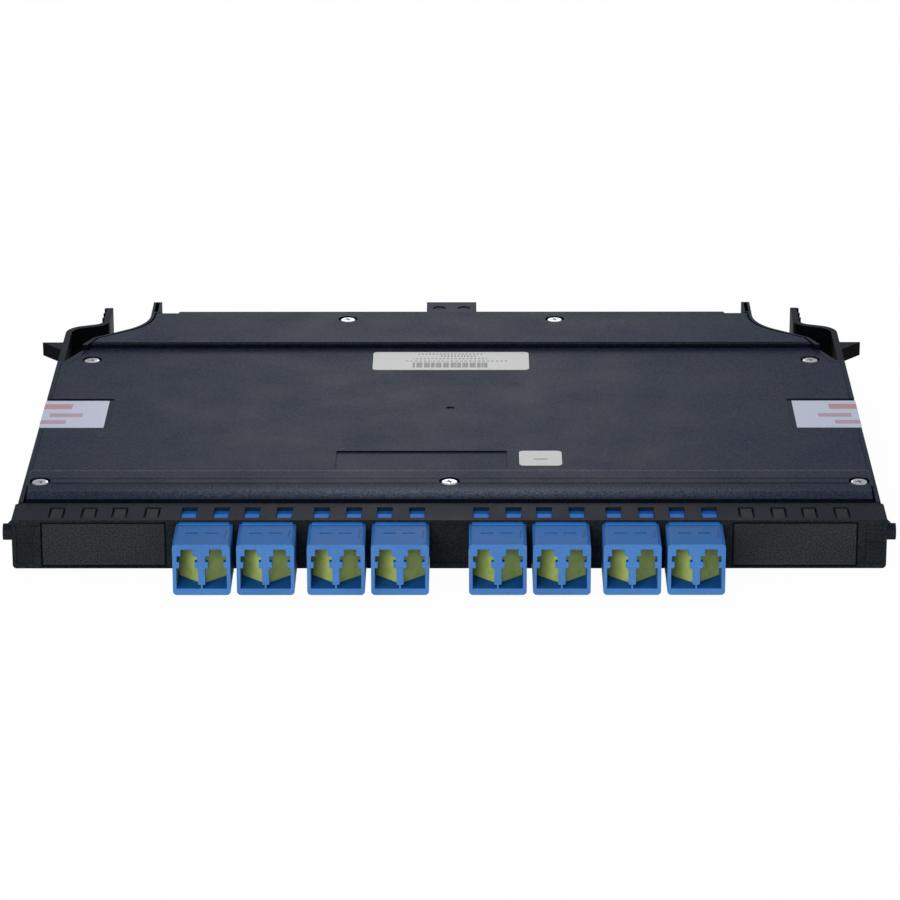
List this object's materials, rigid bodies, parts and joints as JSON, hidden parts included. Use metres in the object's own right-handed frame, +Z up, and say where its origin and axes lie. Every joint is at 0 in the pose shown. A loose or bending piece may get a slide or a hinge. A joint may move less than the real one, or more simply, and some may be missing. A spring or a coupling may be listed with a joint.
{
  "type": "fibre cassette",
  "caption": "Flat plug-in fibre cassette with a row of shuttered duplex ports along its front, side latches and a multi-fibre port at the rear.",
  "frame": {"origin": "middle of the flat underside, 75 mm behind the front bezel", "axes": "+X to the right seen from the front, +Y to the rear, +Z up from the underside"},
  "size_m": [0.2036, 0.1705, 0.0142],
  "materials": {
    "housing_black": "fine grained moulded plastic",
    "cover_black": "fine grained moulded plastic",
    "adapter_blue": "satin moulded plastic",
    "shutter_green": "milky translucent plastic",
    "screw_zinc": "bright zinc plated steel",
    "seal_lilac": "printed film, its print left off",
    "label_grey": "paper label, its print left off",
    "plug_white": "moulded plastic",
    "fibre_aqua": "coated fibre",
    "fanout_black": "moulded plastic"
  },
  "bodies": {
    "cassette": {"base_housing": "housing_black", "top_cover": "cover_black", "cover_screws": "screw_zinc", "seal_label_left": "seal_lilac", "seal_label_right": "seal_lilac", "part_label": "label_grey", "square_label": "label_grey", "blank_left": "housing_black", "blank_right": "housing_black", "lc_adapter_1": "adapter_blue", "lc_adapter_2": "adapter_blue", "lc_adapter_3": "adapter_blue", "lc_adapter_4": "adapter_blue", "lc_adapter_5": "adapter_blue", "lc_adapter_6": "adapter_blue", "lc_adapter_7": "adapter_blue", "lc_adapter_8": "adapter_blue", "inner_plugs_1": "plug_white", "inner_plugs_2": "plug_white", "inner_plugs_3": "plug_white", "inner_plugs_4": "plug_white", "inner_plugs_5": "plug_white", "inner_plugs_6": "plug_white", "inner_plugs_7": "plug_white", "inner_plugs_8": "plug_white", "rear_adapter": "housing_black", "inner_multi_plug": "plug_white", "fanout_block": "fanout_black", "fibre_harness": "fibre_aqua"},
    "shutter_1_left_body": {"shutter_1_left": "shutter_green"},
    "shutter_1_right_body": {"shutter_1_right": "shutter_green"},
    "shutter_2_left_body": {"shutter_2_left": "shutter_green"},
    "shutter_2_right_body": {"shutter_2_right": "shutter_green"},
    "shutter_3_left_body": {"shutter_3_left": "shutter_green"},
    "shutter_3_right_body": {"shutter_3_right": "shutter_green"},
    "shutter_4_left_body": {"shutter_4_left": "shutter_green"},
    "shutter_4_right_body": {"shutter_4_right": "shutter_green"},
    "shutter_5_left_body": {"shutter_5_left": "shutter_green"},
    "shutter_5_right_body": {"shutter_5_right": "shutter_green"},
    "shutter_6_left_body": {"shutter_6_left": "shutter_green"},
    "shutter_6_right_body": {"shutter_6_right": "shutter_green"},
    "shutter_7_left_body": {"shutter_7_left": "shutter_green"},
    "shutter_7_right_body": {"shutter_7_right": "shutter_green"},
    "shutter_8_left_body": {"shutter_8_left": "shutter_green"},
    "shutter_8_right_body": {"shutter_8_right": "shutter_green"},
    "side_latch_left_body": {"side_latch_left": "housing_black"},
    "side_latch_right_body": {"side_latch_right": "housing_black"}
  },
  "joints": [
    {"name": "latch_left_flex", "type": "hinge", "parent": "cassette", "child": "side_latch_left_body", "pos_m": [-0.09475, 0.034, 0.00655], "axis": [0, 0, 1], "range_deg": [-12, 0], "stiffness_Nm_per_rad": 1},
    {"name": "latch_right_flex", "type": "hinge", "parent": "cassette", "child": "side_latch_right_body", "pos_m": [0.09475, 0.034, 0.00655], "axis": [0, 0, 1], "range_deg": [0, 12], "stiffness_Nm_per_rad": 1},
    {"name": "shutter_1_left_hinge", "type": "hinge", "parent": "cassette", "child": "shutter_1_left_body", "pos_m": [-0.05459, -0.08455, 0.00607], "axis": [0, 0, 1], "range_deg": [-45, 0], "stiffness_Nm_per_rad": 0.0017, "springref_deg": 11.46},
    {"name": "shutter_1_right_hinge", "type": "hinge", "parent": "cassette", "child": "shutter_1_right_body", "pos_m": [-0.05362, -0.08455, 0.00607], "axis": [0, 0, 1], "range_deg": [0, 45], "stiffness_Nm_per_rad": 0.0017, "springref_deg": -11.46},
    {"name": "shutter_2_left_hinge", "type": "hinge", "parent": "cassette", "child": "shutter_2_left_body", "pos_m": [-0.04059, -0.08455, 0.00607], "axis": [0, 0, 1], "range_deg": [-45, 0], "stiffness_Nm_per_rad": 0.0017, "springref_deg": 11.46},
    {"name": "shutter_2_right_hinge", "type": "hinge", "parent": "cassette", "child": "shutter_2_right_body", "pos_m": [-0.03961, -0.08455, 0.00607], "axis": [0, 0, 1], "range_deg": [0, 45], "stiffness_Nm_per_rad": 0.0017, "springref_deg": -11.46},
    {"name": "shutter_3_left_hinge", "type": "hinge", "parent": "cassette", "child": "shutter_3_left_body", "pos_m": [-0.02518, -0.08455, 0.00607], "axis": [0, 0, 1], "range_deg": [-45, 0], "stiffness_Nm_per_rad": 0.0017, "springref_deg": 11.46},
    {"name": "shutter_3_right_hinge", "type": "hinge", "parent": "cassette", "child": "shutter_3_right_body", "pos_m": [-0.02422, -0.08455, 0.00607], "axis": [0, 0, 1], "range_deg": [0, 45], "stiffness_Nm_per_rad": 0.0017, "springref_deg": -11.46},
    {"name": "shutter_4_left_hinge", "type": "hinge", "parent": "cassette", "child": "shutter_4_left_body", "pos_m": [-0.01119, -0.08455, 0.00607], "axis": [0, 0, 1], "range_deg": [-45, 0], "stiffness_Nm_per_rad": 0.0017, "springref_deg": 11.46},
    {"name": "shutter_4_right_hinge", "type": "hinge", "parent": "cassette", "child": "shutter_4_right_body", "pos_m": [-0.01022, -0.08455, 0.00607], "axis": [0, 0, 1], "range_deg": [0, 45], "stiffness_Nm_per_rad": 0.0017, "springref_deg": -11.46},
    {"name": "shutter_5_left_hinge", "type": "hinge", "parent": "cassette", "child": "shutter_5_left_body", "pos_m": [0.01022, -0.08455, 0.00607], "axis": [0, 0, 1], "range_deg": [-45, 0], "stiffness_Nm_per_rad": 0.0017, "springref_deg": 11.46},
    {"name": "shutter_5_right_hinge", "type": "hinge", "parent": "cassette", "child": "shutter_5_right_body", "pos_m": [0.01119, -0.08455, 0.00607], "axis": [0, 0, 1], "range_deg": [0, 45], "stiffness_Nm_per_rad": 0.0017, "springref_deg": -11.46},
    {"name": "shutter_6_left_hinge", "type": "hinge", "parent": "cassette", "child": "shutter_6_left_body", "pos_m": [0.02422, -0.08455, 0.00607], "axis": [0, 0, 1], "range_deg": [-45, 0], "stiffness_Nm_per_rad": 0.0017, "springref_deg": 11.46},
    {"name": "shutter_6_right_hinge", "type": "hinge", "parent": "cassette", "child": "shutter_6_right_body", "pos_m": [0.02518, -0.08455, 0.00607], "axis": [0, 0, 1], "range_deg": [0, 45], "stiffness_Nm_per_rad": 0.0017, "springref_deg": -11.46},
    {"name": "shutter_7_left_hinge", "type": "hinge", "parent": "cassette", "child": "shutter_7_left_body", "pos_m": [0.03961, -0.08455, 0.00607], "axis": [0, 0, 1], "range_deg": [-45, 0], "stiffness_Nm_per_rad": 0.0017, "springref_deg": 11.46},
    {"name": "shutter_7_right_hinge", "type": "hinge", "parent": "cassette", "child": "shutter_7_right_body", "pos_m": [0.04059, -0.08455, 0.00607], "axis": [0, 0, 1], "range_deg": [0, 45], "stiffness_Nm_per_rad": 0.0017, "springref_deg": -11.46},
    {"name": "shutter_8_left_hinge", "type": "hinge", "parent": "cassette", "child": "shutter_8_left_body", "pos_m": [0.05362, -0.08455, 0.00607], "axis": [0, 0, 1], "range_deg": [-45, 0], "stiffness_Nm_per_rad": 0.0017, "springref_deg": 11.46},
    {"name": "shutter_8_right_hinge", "type": "hinge", "parent": "cassette", "child": "shutter_8_right_body", "pos_m": [0.05459, -0.08455, 0.00607], "axis": [0, 0, 1], "range_deg": [0, 45], "stiffness_Nm_per_rad": 0.0017, "springref_deg": -11.46}
  ]
}
